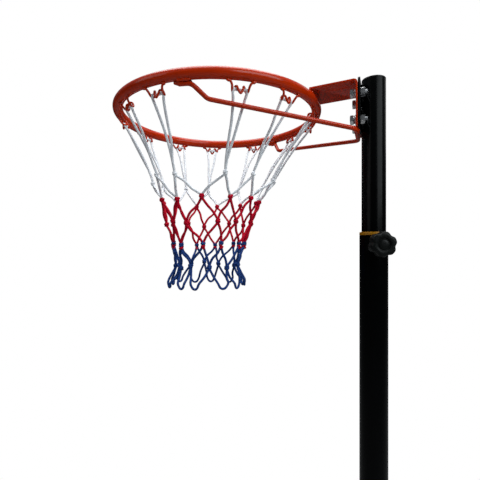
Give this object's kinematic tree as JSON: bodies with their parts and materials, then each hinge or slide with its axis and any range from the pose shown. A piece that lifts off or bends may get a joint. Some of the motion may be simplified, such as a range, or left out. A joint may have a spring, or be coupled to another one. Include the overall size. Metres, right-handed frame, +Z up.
{
  "type": "portable basketball hoop",
  "caption": "Height-adjustable outdoor basketball hoop: net on a round rim, bracketed to a telescopic pole with a clamp knob, on a wheeled water-filled base.",
  "frame": {"origin": "on the pole's axis, at floor level under the base", "axes": "+Z up along the pole; -Y from the pole to the rim's centre; +X across, to the side of the clamp knob"},
  "size_m": [0.56, 1.1, 2.4625],
  "materials": {
    "rim_red": "glossy orange-red powder coat",
    "black_paint": "satin black paint",
    "black_plastic": "fine-grained black moulding",
    "yellow_plastic": "smooth ochre-yellow moulding",
    "zinc": "bright zinc plate",
    "net_cord": "braided cord: white above, then red, then blue",
    "nylon": "smooth off-white moulding",
    "water": null
  },
  "bodies": {
    "stand": {"base_tank": "black_plastic", "ballast_water": "water", "wheel_axle": "zinc", "axle_cap_left": "zinc", "axle_cap_right": "zinc", "base_pole": "black_paint", "mid_pole": "black_paint", "section_screw": "zinc", "strut_left": "black_paint", "strut_right": "black_paint", "strut_foot_bolt_left": "zinc", "strut_foot_bolt_right": "zinc", "strut_top_bolt": "zinc", "strut_top_nut": "zinc", "collar_bush": "yellow_plastic", "bush_rivet": "black_paint", "clamp_boss": "black_paint"},
    "filler_plug": {"filler_plug": "black_plastic"},
    "wheel_left": {"wheel_left": "black_plastic"},
    "wheel_right": {"wheel_right": "black_plastic"},
    "clamp_slider": {"clamp_pad": "nylon"},
    "clamp_screw": {"clamp_stud": "zinc", "clamp_knob": "black_plastic"},
    "head_slider": {"upper_guide": "nylon"},
    "head": {"upper_pole": "black_paint", "pole_cap": "black_plastic", "pole_bracket": "black_paint", "rim_bracket": "rim_red", "brace_rod": "rim_red", "rim_ring": "rim_red", "net": "net_cord", "net_hook_01": "rim_red", "net_hook_02": "rim_red", "net_hook_03": "rim_red", "net_hook_04": "rim_red", "net_hook_05": "rim_red", "net_hook_06": "rim_red", "net_hook_07": "rim_red", "net_hook_08": "rim_red", "net_hook_09": "rim_red", "net_hook_10": "rim_red", "net_hook_11": "rim_red", "net_hook_12": "rim_red", "rim_bolt_1": "zinc", "rim_washer_1": "zinc", "rim_lock_washer_1": "zinc", "rim_nut_1": "zinc", "rim_bolt_2": "zinc", "rim_washer_2": "zinc", "rim_lock_washer_2": "zinc", "rim_nut_2": "zinc", "rim_bolt_3": "zinc", "rim_washer_3": "zinc", "rim_lock_washer_3": "zinc", "rim_nut_3": "zinc", "rim_bolt_4": "zinc", "rim_washer_4": "zinc", "rim_lock_washer_4": "zinc", "rim_nut_4": "zinc"}
  },
  "joints": [
    {"name": "height_slide", "type": "slide", "parent": "stand", "child": "head_slider", "axis": [0, 0, 1], "range_m": [0, 0.61]},
    {"name": "head_swivel", "type": "hinge", "parent": "head_slider", "child": "head", "pos_m": [0, 0, 1.4], "axis": [0, 0, 1], "continuous": true},
    {"name": "clamp_travel", "type": "slide", "parent": "stand", "child": "clamp_slider", "axis": [0.9563, 0.2924, 0], "range_m": [0, 0.006]},
    {"name": "knob_turn", "type": "hinge", "parent": "clamp_slider", "child": "clamp_screw", "pos_m": [0, 0, 2.122], "axis": [0.9563, 0.2924, 0], "range_deg": [0, 1440]},
    {"name": "wheel_left_spin", "type": "hinge", "parent": "stand", "child": "wheel_left", "pos_m": [-0.205, -0.195, 0.06], "axis": [1, 0, 0], "continuous": true},
    {"name": "wheel_right_spin", "type": "hinge", "parent": "stand", "child": "wheel_right", "pos_m": [0.205, -0.195, 0.06], "axis": [1, 0, 0], "continuous": true},
    {"name": "plug_pull", "type": "slide", "parent": "stand", "child": "filler_plug", "axis": [0, 0, 1], "range_m": [0, 0.03]}
  ],
  "couplings": [
    {"joint": "knob_turn", "follows": "clamp_travel", "rad_per_m": 4188.8}
  ]
}
